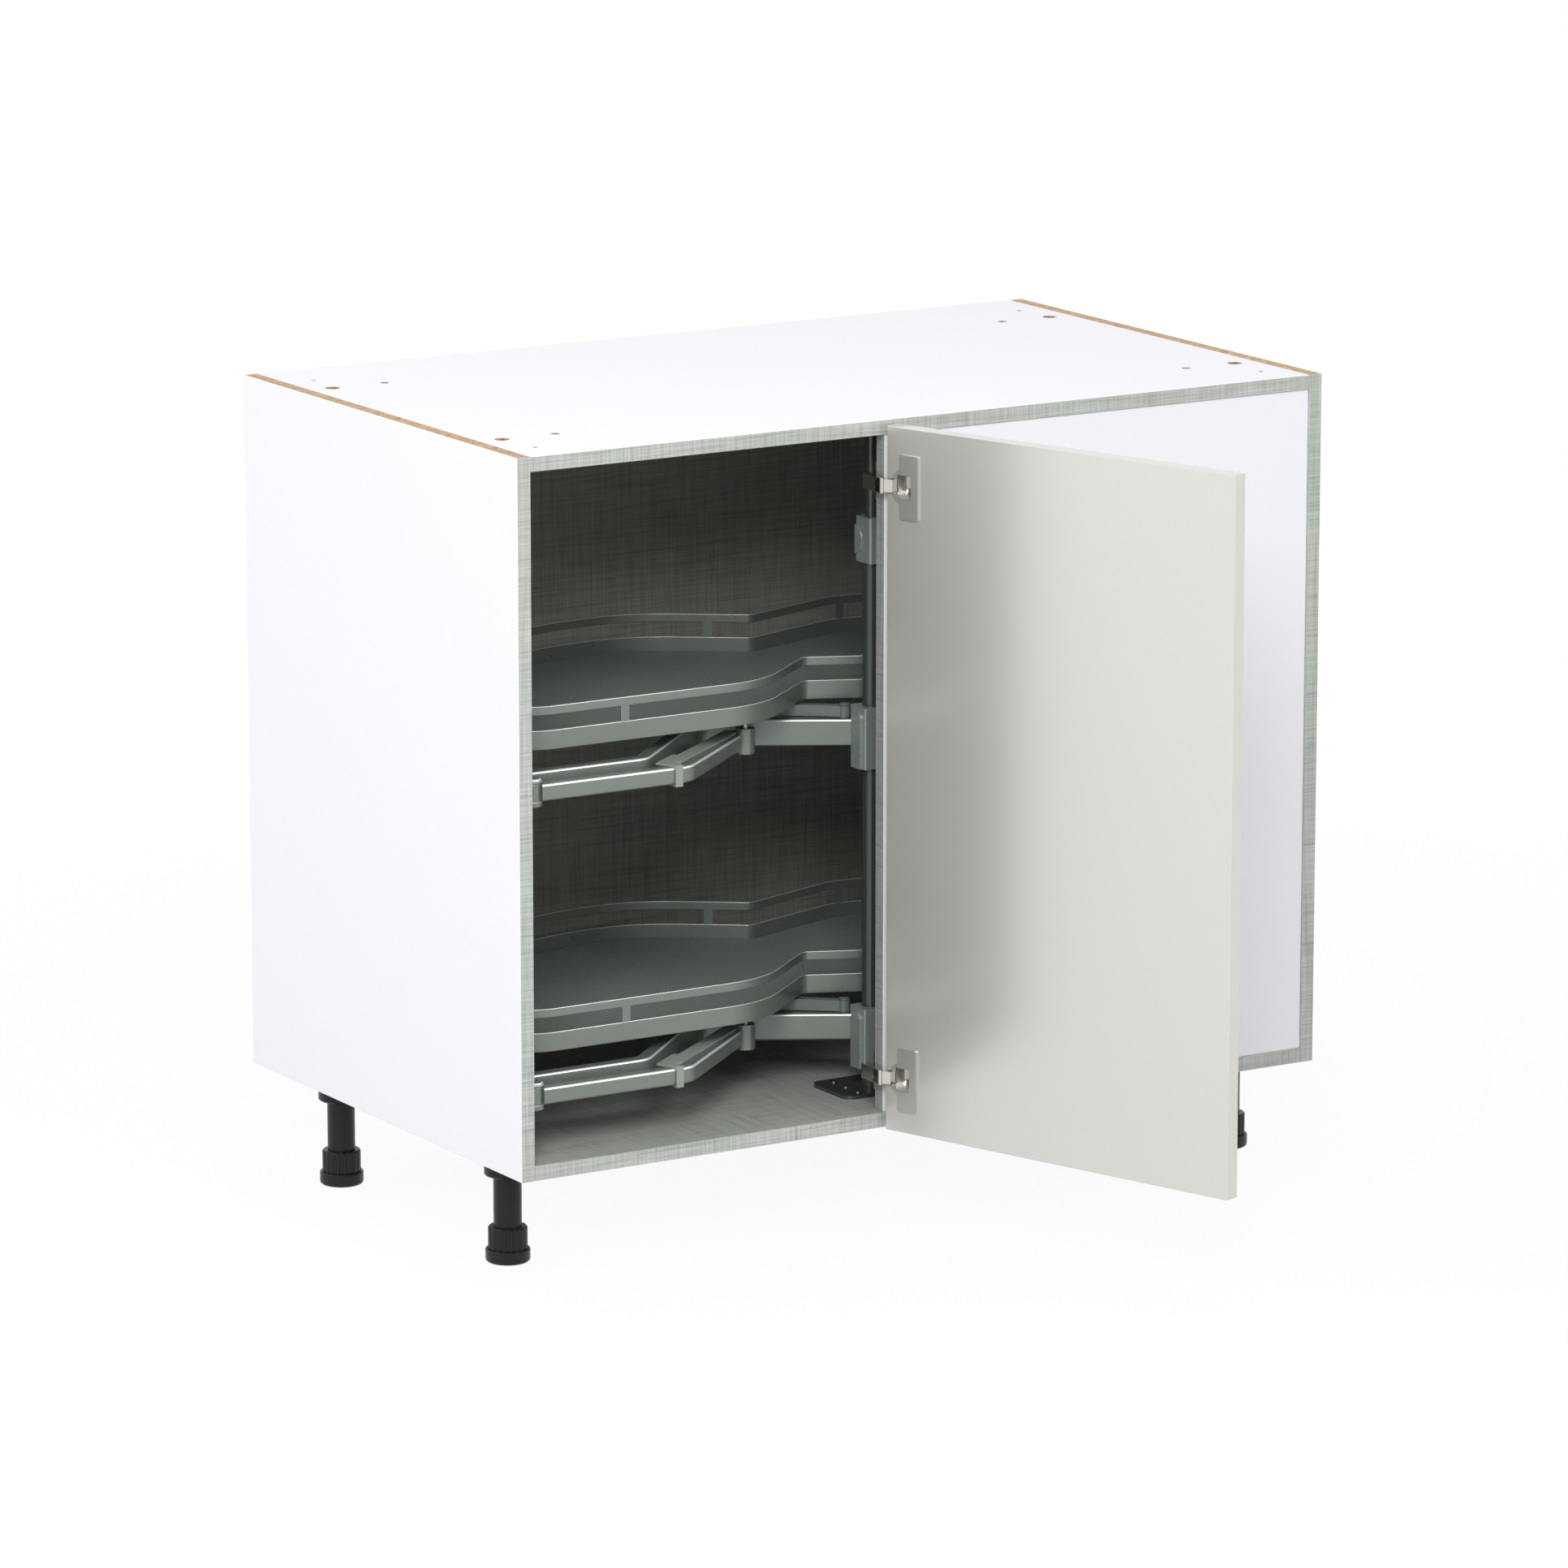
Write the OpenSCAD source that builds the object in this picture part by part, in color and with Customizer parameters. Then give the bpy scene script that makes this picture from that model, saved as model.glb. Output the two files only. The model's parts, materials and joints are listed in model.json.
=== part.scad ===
// Blind corner base cabinet with two swing-out trays on a column.
// Sizes are in millimetres: X runs right, Y runs back and Z runs up from the floor.

/* [Carcass] */
// Outer width of the carcass
body_w = 995; // [940:5:1100]
// Outer depth of the carcass
body_d = 595; // [570:5:650]
// Height of the carcass above its legs
body_h = 762; // [720:2:850]
// Thickness of the carcass boards
board_t = 16; // [15:0.5:19]
// Clear width of the door opening
opening_w = 425.5; // [415:0.5:460]
// Setback of the blind panel behind the front edges
panel_setback = 2; // [1:0.5:4]
// Bevel along the edges of the boards
board_bevel = 0.5; // [0.2:0.1:1]

/* [Legs] */
// Height of the legs
leg_h = 114; // [105:1:150]
// Distance from the outer side faces to the leg axes
leg_side = 42; // [42:1:60]
// Distance from the front edges to the front leg axes
leg_front = 105; // [60:1:130]
// Distance from the rear edges to the rear leg axes
leg_rear = 123; // [60:1:140]
// Diameter of the leg socket
socket_d = 49; // [46:1:51]
// Height of the leg socket
socket_h = 20; // [14:1:24]
// Diameter of the leg tube
leg_tube_d = 30; // [27:0.5:32]
// Diameter of the fluted collar
collar_d = 41.6; // [39:0.2:42]
// Number of flutes round the collar
flutes = 18; // [12:1:24]
// Diameter of the foot
foot_d = 47.5; // [46:0.5:60]
// Height of the foot
foot_h = 14.5; // [12:0.5:17]

/* [Door] */
// Thickness of the door
door_t = 17.5; // [16.5:0.5:22]
// Angle of the open door, from its closed place
door_angle = 108.9; // [95:0.1:109.5]
// Overlap of the closed door on the blind panel
door_overlay = 13.5; // [12:0.5:15]
// Reveal of the left side panel beside the closed door
door_reveal = 2.4; // [1:0.2:4]
// Gap between the door's top and the carcass top
door_gap = 5; // [2:0.5:8]
// Bevel along the edges of the door
door_bevel = 0.8; // [0.3:0.1:1.5]

/* [Hinges] */
// Diameter of the hinge cup's bore
cup_d = 35; // [34:0.5:36]
// Depth of the hinge cup's bore
cup_depth = 13.4; // [13.3:0.1:13.8]
// Distance from the door's edge to the cup's bore
cup_edge = 5.8; // [5.4:0.1:6.2]
// Height of the lower hinge above the carcass underside
hinge_low = 58; // [50:1:120]
// Drop of the upper hinge below the carcass top
hinge_drop = 67.5; // [55:0.5:120]
// Diameter of the hinge pins
hinge_pin_d = 3; // [2.6:0.1:3.2]
// Height of the hinge arm
hinge_arm_h = 16; // [14:0.5:18]
// Thickness of the hinge's pressed steel
hinge_steel = 1.1; // [0.9:0.1:1.3]

/* [Column] */
// Diameter of the lower column tube
column_d = 20; // [18:0.5:22]
// Diameter of the upper column tube
column_top_d = 14; // [12:0.5:15]
// Wall of the column tubes
column_wall = 2; // [1.5:0.1:2.4]
// Distance from the blind panel's edge to the column's axis
column_inset = 46; // [44:0.5:60]
// Distance from the front edges to the column's axis
column_setback = 100.5; // [96:0.5:115]
// Height of the clamp above the carcass underside
clamp_z = 590.5; // [560:1:640]
// Height of the clamp
clamp_h = 49; // [40:1:56]
// Thickness of the column's end plates
plate_t = 4; // [3:0.5:6]

/* [Trays] */
// Height of the lower arm above the carcass underside
lower_arm_z = 64.7; // [56:0.1:80]
// Height from one tray to the other
tray_pitch = 322.8; // [280:0.1:350]
// Height of the tray rail
rail_h = 46.4; // [36:0.2:60]
// Height of the rail's lower band
rail_low = 20.8; // [14:0.2:22]
// Height of the rail's upper band
rail_top = 9.6; // [6:0.2:10]
// Thickness of the rail
rail_t = 2; // [1.5:0.1:3]
// Thickness of the tray floor
floor_t = 3; // [2:0.5:5]
// Thickness of the tray mat
mat_t = 2; // [1:0.5:3]
// Gap from the left side panel to the tray
tray_side_gap = 17; // [14:0.5:30]
// Reach of the tray past the column
tray_reach = 262; // [240:1:275]

/* [Arms] */
// Height of the main arm's tube
arm_h = 29; // [24:0.5:29]
// Width of the main arm's tube
arm_w = 16; // [14:0.5:17]
// Height of the folding link's tube
link_h = 18.2; // [13:0.2:19]
// Width of the folding link's tube
link_w = 14; // [12:0.5:16]
// Height of the guide arm
guide_h = 12; // [10:0.5:12.5]
// Width of the guide arm
guide_w = 11; // [9:0.5:12]
// Diameter of the tray pin
tray_pin_d = 7; // [6:0.5:9]
// Diameter of the barrel pin
barrel_pin_d = 8; // [6:0.5:9]

/* [Hidden] */
$fn = 48;

// Radial clearance of a pin or shaft in its bore
fit = 0.05;
// Gap between pieces that pass each other
play = 0.3;

// Boards
white = "#f4f4f6";
linen = "#b6bcb4";
inner_w = body_w - 2*board_t;
inner_h = body_h - 2*board_t;
panel_x = board_t + opening_w;
panel_back = panel_setback + board_t;
back_y = body_d - board_t;

// Blind holes in the top and bottom boards: diameter, depth and place
leg_hole_d = 16;
hole_depth = 12;
fitting_hole_d = 10;
fitting_step = 63;
pilot_hole_d = 5.5;
pilot_side = 48;
pilot_end = 46.5;
pilot_rear = 69.5;

// Dowels that join the boards
dowel_d = 8;
dowel_l = 30;
dowel_in_side = 10;
dowel_ys = [30, body_d/2, body_d - 70];

// Legs
leg_places = [
    [leg_side, leg_front], [body_w - leg_side, leg_front],
    [leg_side, body_d - leg_rear], [body_w - leg_side, body_d - leg_rear]
];
spigot_d = 15;
spigot_h = 8;
socket_wall = 3;
leg_wall = 3.5;
collar_h = 32.5;
collar_top = collar_h + foot_h - 8.5;
foot_floor = foot_h - 8.5;
tube_seat = foot_floor + 16;
stem_d = 21;
stem_top = 74;
screw_d = 3.5;
leg_screw_l = 14;
leg_screw_reach = 19.5;

// Door
door_w = opening_w + board_t - door_reveal + door_overlay;
door_h = body_h - door_gap;
door_dir = 180 + door_angle;
door_corner = [panel_x - 3.1, panel_setback - 10];
door_along = [cos(door_dir), sin(door_dir)];

// Hinges: the knuckle is fixed to the carcass and the cup pivot lies in the door
knuckle = [panel_x - 9.5, panel_setback - 10];
cup_pivot = [8, 5];
cup_pivot_place = door_corner + turned(cup_pivot, door_dir);
cup_wall = 0.8;
cup_centre = cup_edge + cup_d/2;
pocket = [4.4, 12];
pocket_half = 8.4;
pocket_depth = 10.5;
link_half = hinge_arm_h/2 - hinge_steel - 0.15;
link_t = 2.4;
link_elbow = cup_pivot + [0.6, -7.6];
cover = [18.4, 43];
cover_h = 68;
cover_t = 2.6;
cover_mouth = [15.2, 34];
cover_mouth_half = 12.5;
arm_back = 26.8;
arm_gap = 2;
bracket_w = 36;
bracket_h = 40;
hinge_zs = [hinge_low, body_h - hinge_drop];

// Column
column = [panel_x + column_inset, column_setback];
plate_size = [107, 76];
plate_r = 12;
plate_screws = [31.1, 25];
base_top = board_t + plate_t;
ceiling = body_h - board_t;
inner_tube_low = clamp_z - 70;

// Swing units, measured from the underside of the main arm
arm_zs = [lower_arm_z, lower_arm_z + tray_pitch];
block_lows = [-25, -19];
block_h = 66.7;
block_x = [-17.3, 17.5];
block_y = [-15.3, 15.1];
block_r = 2;
tray_z = 48;
tray_pivot = column + [-135.5, 35.5];
barrel = [board_t + 22, 40.5];
barrel_r = 10.7;
barrel_low = 1;
barrel_top = 28;
arm_low = 3;
arm_top = arm_low + arm_h;
link_z = 6.7;
link_front = barrel.y - 12.5;
link_y = link_front + link_w/2;
boss_low = 3.9;
boss_h = 27.4;
arm_root = column + [-1, 10.2];
arm_elbow = column + [-159.6, 100.9];
arm_knee = barrel + [145.7, 23.5];
arm_end = barrel + [0, 23.5];
link_bend = [barrel.x + 182, link_y];
guide_pivot = column + [-19.5, 23];
guide_bend = column + [-57.5, 54.5];
guide_end = column + [-244, 174];
guide_z = arm_top + play + 1;
strap_t = 2.5;
strap_w = 8.5;
strap_back = 18;
plate_w = [23, 29];
plate_step = 31;
plate_start = 14;
pin_r = tray_pin_d/2;
barrel_pin_r = barrel_pin_d/2;
guide_pin_r = 3.5;

// Outline of the tray: corner points with the radius of each, anticlockwise
lobe = tray_pivot + [5, 5];
tray_left = board_t + tray_side_gap;
lobe_r = lobe.x - tray_left;
lobe_back = lobe.y + lobe_r;
tray_front = tray_pivot.y - 57.2;
tray_right = column.x + tray_reach;
wing_back = lobe_back - 33;
waist = [column.x + 24.5, lobe_back - 75];
lobe_run = 47;
lobe_turn = atan((lobe_back - waist.y)/(waist.x - lobe.x - lobe_run - 1));
tray_corners = [
    [tray_left, tray_front, 54],
    [tray_pivot.x - 10.1, tray_front, 115],
    [column.x - 49, column.y + 59.5, 9],
    [column.x + 156.5, tray_front - 9, 60],
    [tray_right, tray_front - 9, 90],
    [tray_right, wing_back, 100],
    [column.x + 148.5, wing_back, 60],
    [waist.x, waist.y, 10],
    [lobe.x + lobe_run + 1, lobe_back, lobe_run/tan(lobe_turn/2)],
    [tray_left, lobe_back, lobe_r]
];
arc_step = 6;
strut_w = 10;
// Struts of the rail: place and the direction that each is turned
struts = [
    [tray_left + 139, tray_front, 0], [column.x - 49, column.y + 58, 8],
    [column.x + 80, column.y + 3.2, -23], [column.x + 190, tray_front - 9, 0],
    [tray_right, column.y + 115, 90], [column.x + 164, wing_back, 0],
    [column.x - 13.5, lobe_back - 48, -35],
    for (a = [112, 145, 178]) [lobe.x + lobe_r*cos(a), lobe.y + lobe_r*sin(a), a - 90]
];

// Place of the model: the floor is at Z 0, centred under the box round carcass and open door
door_reach = door_corner.y + door_w*door_along.y + door_bevel*door_along.x;
mid_y = (body_d + door_reach)/2;
module placed() translate([-body_w/2, -mid_y, leg_h]) children();

function turned(v, a) = [v.x*cos(a) - v.y*sin(a), v.x*sin(a) + v.y*cos(a)];
function unit(v) = v/norm(v);
function left_of(v) = [-v.y, v.x];
function cross2(u, v) = u.x*v.y - u.y*v.x;

// One corner of an outline, rounded and moved inwards
function round_corner(p, q, r, radius, inset) =
    let (u = unit(q - p), v = unit(r - q))
    let (t = atan2(cross2(u, v), u*v), s = sign(t))
    let (start = q - u*radius*tan(abs(t)/2), c = start + left_of(u)*radius*s)
    let (n = max(2, ceil(abs(t)/arc_step)), out = left_of(u)*-s, a0 = atan2(out.y, out.x))
    [for (i = [0:n]) c + (radius - s*inset)*[cos(a0 + t*i/n), sin(a0 + t*i/n)]];

function xy(v) = [v.x, v.y];
function outline(corners, inset) = [
    for (i = [0:len(corners) - 1])
        let (m = len(corners), p = corners[(i + m - 1) % m], q = corners[i])
        each round_corner(xy(p), xy(q), xy(corners[(i + 1) % m]), q.z, inset)
];

// Points of a rectangle with round corners, centred on the origin
function round_rect(w, h, r) = [
    for (c = [[1, 1, 0], [-1, 1, 90], [-1, -1, 180], [1, -1, 270]], i = [0:4])
        [c.x*(w/2 - r), c.y*(h/2 - r)] + r*[cos(c.z + i*22.5), sin(c.z + i*22.5)]
];

// A block with bevelled edges, from a corner at the origin
module bevelled(size, b) {
    intersection() {
        linear_extrude(size.z) bevelled_outline(size.x, size.y, b);
        translate([0, size.y, 0]) rotate([90, 0, 0]) linear_extrude(size.y)
            bevelled_outline(size.x, size.z, b);
        rotate([90, 0, 90]) linear_extrude(size.x) bevelled_outline(size.y, size.z, b);
    }
}

module bevelled_outline(w, h, b)
    polygon([[b, 0], [w - b, 0], [w, b], [w, h - b], [w - b, h], [b, h], [0, h - b], [0, b]]);

// A board between two corners
module board(low, high) translate(low) bevelled(high - low, board_bevel);

// A tube run through points in plan: straight lengths with a round turn at each bend
module tube_run(points, w, h, r) {
    for (i = [0:len(points) - 2]) {
        d = points[i + 1] - points[i];
        translate([points[i].x, points[i].y, h/2]) rotate([90, 0, atan2(d.y, d.x) + 90])
            linear_extrude(norm(d)) polygon(round_rect(w, h, r));
    }
    for (i = [1:1:len(points) - 2])
        translate([points[i].x, points[i].y, h/2]) rotate_extrude() intersection() {
            polygon(round_rect(w, h, r));
            translate([0, -h]) square([w, 2*h]);
        }
}

// A flat strip through three points in plan
function strip(a, b, c, t) =
    let (n = left_of(unit(b - a))*t/2, m = left_of(unit(c - b))*t/2)
    let (k = (n + m)*(t*t/4)/((n + m)*n))
    [a + n, b + k, c + m, c - m, b - k, a - n];

module pin(place, r, low, high) translate([place.x, place.y, low]) cylinder(r = r, h = high - low);

// Carcass
module dowel_row(grow) {
    for (side = [0, 1], y = dowel_ys, z = [board_t/2, body_h - board_t/2])
        translate([side == 0 ? board_t - dowel_in_side : body_w - board_t + dowel_in_side, y, z])
            rotate([0, side == 0 ? 90 : -90, 0]) cylinder(d = dowel_d + grow, h = dowel_l + grow);
}

module panel_dowels(grow) {
    for (x = [panel_x + 60, body_w - board_t - 60], y = [panel_setback + board_t/2, body_d - board_t/2])
        for (z = [board_t/2, body_h - board_t/2 - dowel_l])
            translate([x, y, z]) cylinder(d = dowel_d + grow, h = dowel_l + grow);
}

module side_panel(x) {
    color(white) placed() difference() {
        board([x, 0, 0], [x + board_t, body_d, body_h]);
        dowel_row(2*fit);
    }
}

module drilled_holes(large_d) {
    for (p = leg_places) {
        inward = p.x < body_w/2 ? 1 : -1;
        pin(p, large_d/2, -hole_depth, 1);
        pin(p + [inward*fitting_step, 0], fitting_hole_d/2, -hole_depth, 1);
    }
    for (x = [pilot_side, body_w - pilot_side], y = [pilot_end, body_d - pilot_rear])
        pin([x, y], pilot_hole_d/2, -hole_depth, 1);
}

module top_panel() {
    color(white) placed() difference() {
        board([board_t, 0, body_h - board_t], [body_w - board_t, body_d, body_h]);
        translate([0, 0, body_h]) drilled_holes(leg_hole_d);
        plate_screws_at(fit);
        dowel_row(2*fit);
        panel_dowels(2*fit);
    }
}

module bottom_panel() {
    color(linen) placed() difference() {
        board([board_t, 0, 0], [body_w - board_t, body_d, board_t]);
        mirror([0, 0, 1]) drilled_holes(spigot_d);
        for (p = leg_places) leg_screws_at(p, fit);
        plate_screws_at(fit);
        dowel_row(2*fit);
        panel_dowels(2*fit);
    }
}

module back_panel() {
    color(linen) placed() difference() {
        board([board_t, back_y, board_t], [body_w - board_t, body_d, body_h - board_t]);
        panel_dowels(2*fit);
    }
}

module blind_panel() {
    color(white) placed() difference() {
        board([panel_x, panel_setback, board_t], [body_w - board_t, panel_back, body_h - board_t]);
        panel_dowels(2*fit);
        hinge_plate_screws_at(fit);
    }
}

module carcass_dowels() {
    color("burlywood") placed() {
        dowel_row(0);
        panel_dowels(0);
    }
}

// Legs
module leg_sockets() {
    color("#26282a") placed() for (p = leg_places) difference() {
        union() {
            translate([p.x, p.y, -socket_h]) rotate_extrude() polygon([
                [0, 0], [socket_d/2 - 1.5, 0], [socket_d/2, 1.5], [socket_d/2, socket_h], [0, socket_h]
            ]);
            pin(p, spigot_d/2 - fit, -1, spigot_h);
        }
        pin(p, leg_tube_d/2 + fit, -socket_h - 1, -socket_wall);
        leg_screws_at(p, fit);
    }
}

module leg_tubes() {
    color("#2a2c2e") placed() for (p = leg_places) difference() {
        pin(p, leg_tube_d/2, tube_seat - leg_h, -socket_wall);
        pin(p, leg_tube_d/2 - leg_wall, tube_seat - leg_h - 1, -socket_wall - 4);
    }
}

module leg_screws_at(p, grow) {
    for (a = [45:90:315])
        translate([p.x, p.y, 0] + leg_screw_reach*[cos(a), sin(a), 0]) {
            pin([0, 0], screw_d/2 + grow, -socket_h + 3, leg_screw_l - socket_h + 10);
            pin([0, 0], screw_d + grow, -socket_h - (grow > 0 ? 1 : -1), -socket_h + 3);
        }
}

module leg_screws() color("silver") placed() for (p = leg_places) leg_screws_at(p, 0);

module foot_collar(p) {
    flute_r = 2.4;
    r = collar_d/2;
    color("#1d1e20") placed() translate([p.x, p.y, -leg_h]) union() {
        difference() {
            rotate_extrude() polygon([
                [0, foot_floor], [r, foot_floor], [r, collar_top - 1.5], [r - 1.5, collar_top], [0, collar_top]
            ]);
            for (i = [0:flutes - 1]) rotate([0, 0, i*360/flutes])
                pin([r + flute_r/2, 0], flute_r, foot_floor + 5, collar_top + 1);
            pin([0, 0], leg_tube_d/2 + fit, tube_seat, collar_top + 1);
        }
        pin([0, 0], stem_d/2, foot_floor + 1, stem_top);
    }
}

module foot_cup(p) {
    color("#1a1b1d") placed() translate([p.x, p.y, -leg_h]) rotate_extrude() polygon([
        [0, 0], [foot_d/2 - 4, 0],
        for (a = [-75:15:0]) [foot_d/2 - 4, 4] + 4*[cos(a), sin(a)],
        [foot_d/2, foot_h - 1], [foot_d/2 - 1, foot_h], [collar_d/2 + fit, foot_h],
        [collar_d/2 + fit, foot_floor], [0, foot_floor]
    ]);
}

// Door, drawn along X from its hinged edge with its inner face at Y 0
module on_door() placed() translate([door_corner.x, door_corner.y, 0]) rotate([0, 0, door_dir]) children();

module cup_space(r, depth, side, half, side_depth) {
    translate([cup_centre, depth, 0]) rotate([90, 0, 0]) cylinder(r = r, h = depth + 1);
    translate([side, -1, -half]) cube([pocket.y - side, side_depth + 1, 2*half]);
}

module dowels_at(r, depth) {
    for (z = [-24, 24])
        translate([cup_centre + 9.5, depth, z]) rotate([90, 0, 0]) cylinder(r = r, h = depth);
}

module door() {
    color("#dcdad6") on_door() difference() {
        bevelled([door_w, door_t, door_h], door_bevel);
        for (z = hinge_zs) translate([0, 0, z]) {
            cup_space(cup_d/2, cup_depth, pocket.x, pocket_half, pocket_depth);
            dowels_at(4, 11);
        }
    }
}

// The cup in its bore, with the round rim and the raised cover on the door's face
module hinge_cup(z) {
    color("#c9c7c3") on_door() translate([0, 0, z]) difference() {
        union() {
            intersection() {
                cup_space(cup_d/2 - fit, cup_depth - fit, pocket.x + fit, pocket_half - fit, pocket_depth - fit);
                translate([0, 0, -cup_d]) cube([2*cup_d, cup_depth, 2*cup_d]);
            }
            translate([cup_centre, 0, 0]) rotate([90, 0, 0]) cylinder(d = cup_d + 1, h = 1);
            translate([cover.x, 0, -cover_h/2]) rotate([90, 0, 0]) linear_extrude(cover_t)
                bevelled_outline(cover.y - cover.x, cover_h, 1.5);
        }
        intersection() {
            cup_space(cup_d/2 - fit - cup_wall, cup_depth - cup_wall, pocket.x + cup_wall,
                pocket_half - cup_wall, pocket_depth - cup_wall);
            translate([0, -0.5, -cup_d]) cube([2*cup_d, cup_depth, 2*cup_d]);
        }
        translate([cover_mouth.x, -cover_t - 1, -cover_mouth_half])
            cube([cover_mouth.y - cover_mouth.x, cover_t + 1, 2*cover_mouth_half]);
        translate([pocket.x - 1, -2, cup_wall - pocket_half])
            cube([cover_mouth.x - pocket.x + 1, 4, 2*(pocket_half - cup_wall)]);
        translate([cup_pivot.x, cup_pivot.y, -pocket_half - 1])
            cylinder(d = hinge_pin_d, h = 2*pocket_half + 2);
    }
}

// The bent link between the knuckle and the cup
module hinge_link(z) {
    elbow = door_corner + turned(link_elbow, door_dir);
    color("#bdbab6") placed() translate([0, 0, z - link_half]) difference() {
        union() {
            linear_extrude(2*link_half) polygon(strip(knuckle, elbow, cup_pivot_place, link_t));
            pin(knuckle, 2.9, 0, 2*link_half);
            pin(cup_pivot_place, 2.3, 0, 2*link_half);
        }
        pin(knuckle, hinge_pin_d/2 + fit, -1, 2*link_half + 1);
        pin(cup_pivot_place, hinge_pin_d/2 + fit, -1, 2*link_half + 1);
    }
}

// The arm: a channel on the bracket with two ears that hold the knuckle pin
module hinge_arm(z) {
    x0 = panel_x - arm_gap - 9.5;
    x1 = panel_x - arm_gap;
    y0 = panel_setback;
    color("#c4c2be") placed() translate([0, 0, z - hinge_arm_h/2]) difference() {
        union() {
            for (low = [0, hinge_arm_h - hinge_steel]) translate([0, 0, low]) linear_extrude(hinge_steel) {
                translate(knuckle) circle(r = 3.2);
                polygon([knuckle - [3.2, 0], knuckle + [3.2, 0], [x1, y0 - 2], [x1, arm_back], [x0, arm_back], [x0, y0]]);
            }
            translate([x0, y0 + 2, 0]) cube([hinge_steel, arm_back - y0 - 2, hinge_arm_h]);
            translate([x1 - 2, y0 + 2, 0]) cube([2, arm_back - y0 - 2, hinge_arm_h]);
        }
        pin(knuckle, hinge_pin_d/2, -1, hinge_arm_h + 1);
    }
}

// The angle bracket on the blind panel's edge and back
module hinge_plate(z) {
    color("#b9b7b3") placed() difference() {
        union() {
            translate([panel_x - arm_gap, panel_setback + 1, z - hinge_arm_h/2])
                cube([arm_gap, board_t + arm_gap - 1, hinge_arm_h]);
            translate([panel_x, panel_back, z - bracket_h/2]) cube([bracket_w, arm_gap, bracket_h]);
        }
        hinge_plate_screws_at(fit);
    }
}

module hinge_plate_screws_at(grow) {
    for (z = hinge_zs, dz = [-12, 12])
        translate([panel_x + 24, panel_back + arm_gap, z + dz]) rotate([90, 0, 0]) {
            cylinder(r = screw_d/2 + grow, h = 14 + grow);
            translate([0, 0, -1.6]) cylinder(r = screw_d, h = 1.6);
        }
}

module hinge_arm_pins() color("#a9a7a3") placed() for (z = hinge_zs)
    pin(knuckle, hinge_pin_d/2, z - hinge_arm_h/2, z + hinge_arm_h/2);

module hinge_cup_pins() color("#a9a7a3") placed() for (z = hinge_zs)
    pin(cup_pivot_place, hinge_pin_d/2, z - pocket_half + fit, z + pocket_half - fit);

module hinge_plate_screws() color("silver") placed() hinge_plate_screws_at(0);

module hinge_cup_dowels() color("#8d8f90") on_door() for (z = hinge_zs)
    translate([0, 0, z]) dowels_at(4 - fit, 10.5);

// Column
module tube(place, d, wall, low, high) {
    difference() {
        pin(place, d/2, low, high);
        pin(place, d/2 - wall, low - 1, high + 1);
    }
}

module column_tube() color("#3c423d") placed() tube(column, column_d, column_wall, base_top, clamp_z + clamp_h - 16);

module column_inner_tube() color("#383e3a") placed()
    tube(column, column_top_d, column_wall, inner_tube_low, ceiling - plate_t);

module end_plate(z, spigot_r, spigot_low) {
    difference() {
        union() {
            translate([column.x, column.y, z]) linear_extrude(plate_t)
                polygon(round_rect(plate_size.x, plate_size.y, plate_r));
            pin(column, spigot_r, spigot_low, spigot_low + 12 + plate_t/2);
        }
        plate_screws_at(fit);
    }
}

module plate_screws_at(grow) {
    for (sx = [-1, 1], sy = [-1, 0, 1]) {
        place = column + [sx*plate_screws.x, sy*plate_screws.y];
        pin(place, screw_d/2 + grow, board_t/2, base_top + fit);
        pin(place, screw_d, base_top, base_top + 1.2);
        pin(place, screw_d/2 + grow, ceiling - plate_t - fit, body_h - board_t/2);
        pin(place, screw_d, ceiling - plate_t - 1.2, ceiling - plate_t);
    }
}

module column_base_plate() color("#39403b") placed()
    end_plate(board_t, column_d/2 - column_wall - fit, base_top - plate_t/2);

module column_top_plate() color("#39403b") placed()
    end_plate(ceiling - plate_t, column_top_d/2 - column_wall - fit, ceiling - plate_t - 12);

module column_plate_screws() color("silver") placed() plate_screws_at(0);

module column_clamp() {
    face = column.x - 11.8;
    color("#6f7871") placed() difference() {
        union() {
            translate([column.x + 2.6, column.y - 0.5, clamp_z]) linear_extrude(clamp_h)
                polygon(round_rect(28.8, 30, 3));
            intersection() {
                translate([face - 1.2, column.y + 16.5, clamp_z + 23.5]) rotate([0, 90, 0])
                    cylinder(r = 16, h = 3);
                translate([face - 2, column.y - 15, clamp_z]) cube([6, 28.5, clamp_h]);
            }
        }
        pin(column, column_d/2 + fit, clamp_z - 1, clamp_z + clamp_h - 16);
        pin(column, column_top_d/2 + fit, clamp_z, clamp_z + clamp_h + 1);
    }
}

// Swing units
module at_arm(z) placed() translate([0, 0, z]) children();

module block_body(low) {
    x0 = column.x + (block_x[0] + block_x[1])/2;
    y0 = column.y + (block_y[0] + block_y[1])/2;
    translate([x0, y0, low]) linear_extrude(block_h)
        polygon(round_rect(block_x[1] - block_x[0], block_y[1] - block_y[0], block_r));
}

module swivel_block(z, low) {
    relief_y = column.y - 0.1;
    relief_r = 8.9;
    relief_h = block_h - 5 - relief_r;
    color("#6c756e") at_arm(z) difference() {
        union() {
            block_body(low);
            translate([column.x + block_x[0] - 2.5, relief_y - relief_r, low])
                cube([4, 2*relief_r, relief_h]);
            translate([column.x + block_x[0] - 2.5, relief_y, low + relief_h])
                rotate([0, 90, 0]) cylinder(r = relief_r, h = 4);
        }
        pin(column, column_d/2 + fit, low - 1, low + block_h + 1);
    }
}

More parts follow.
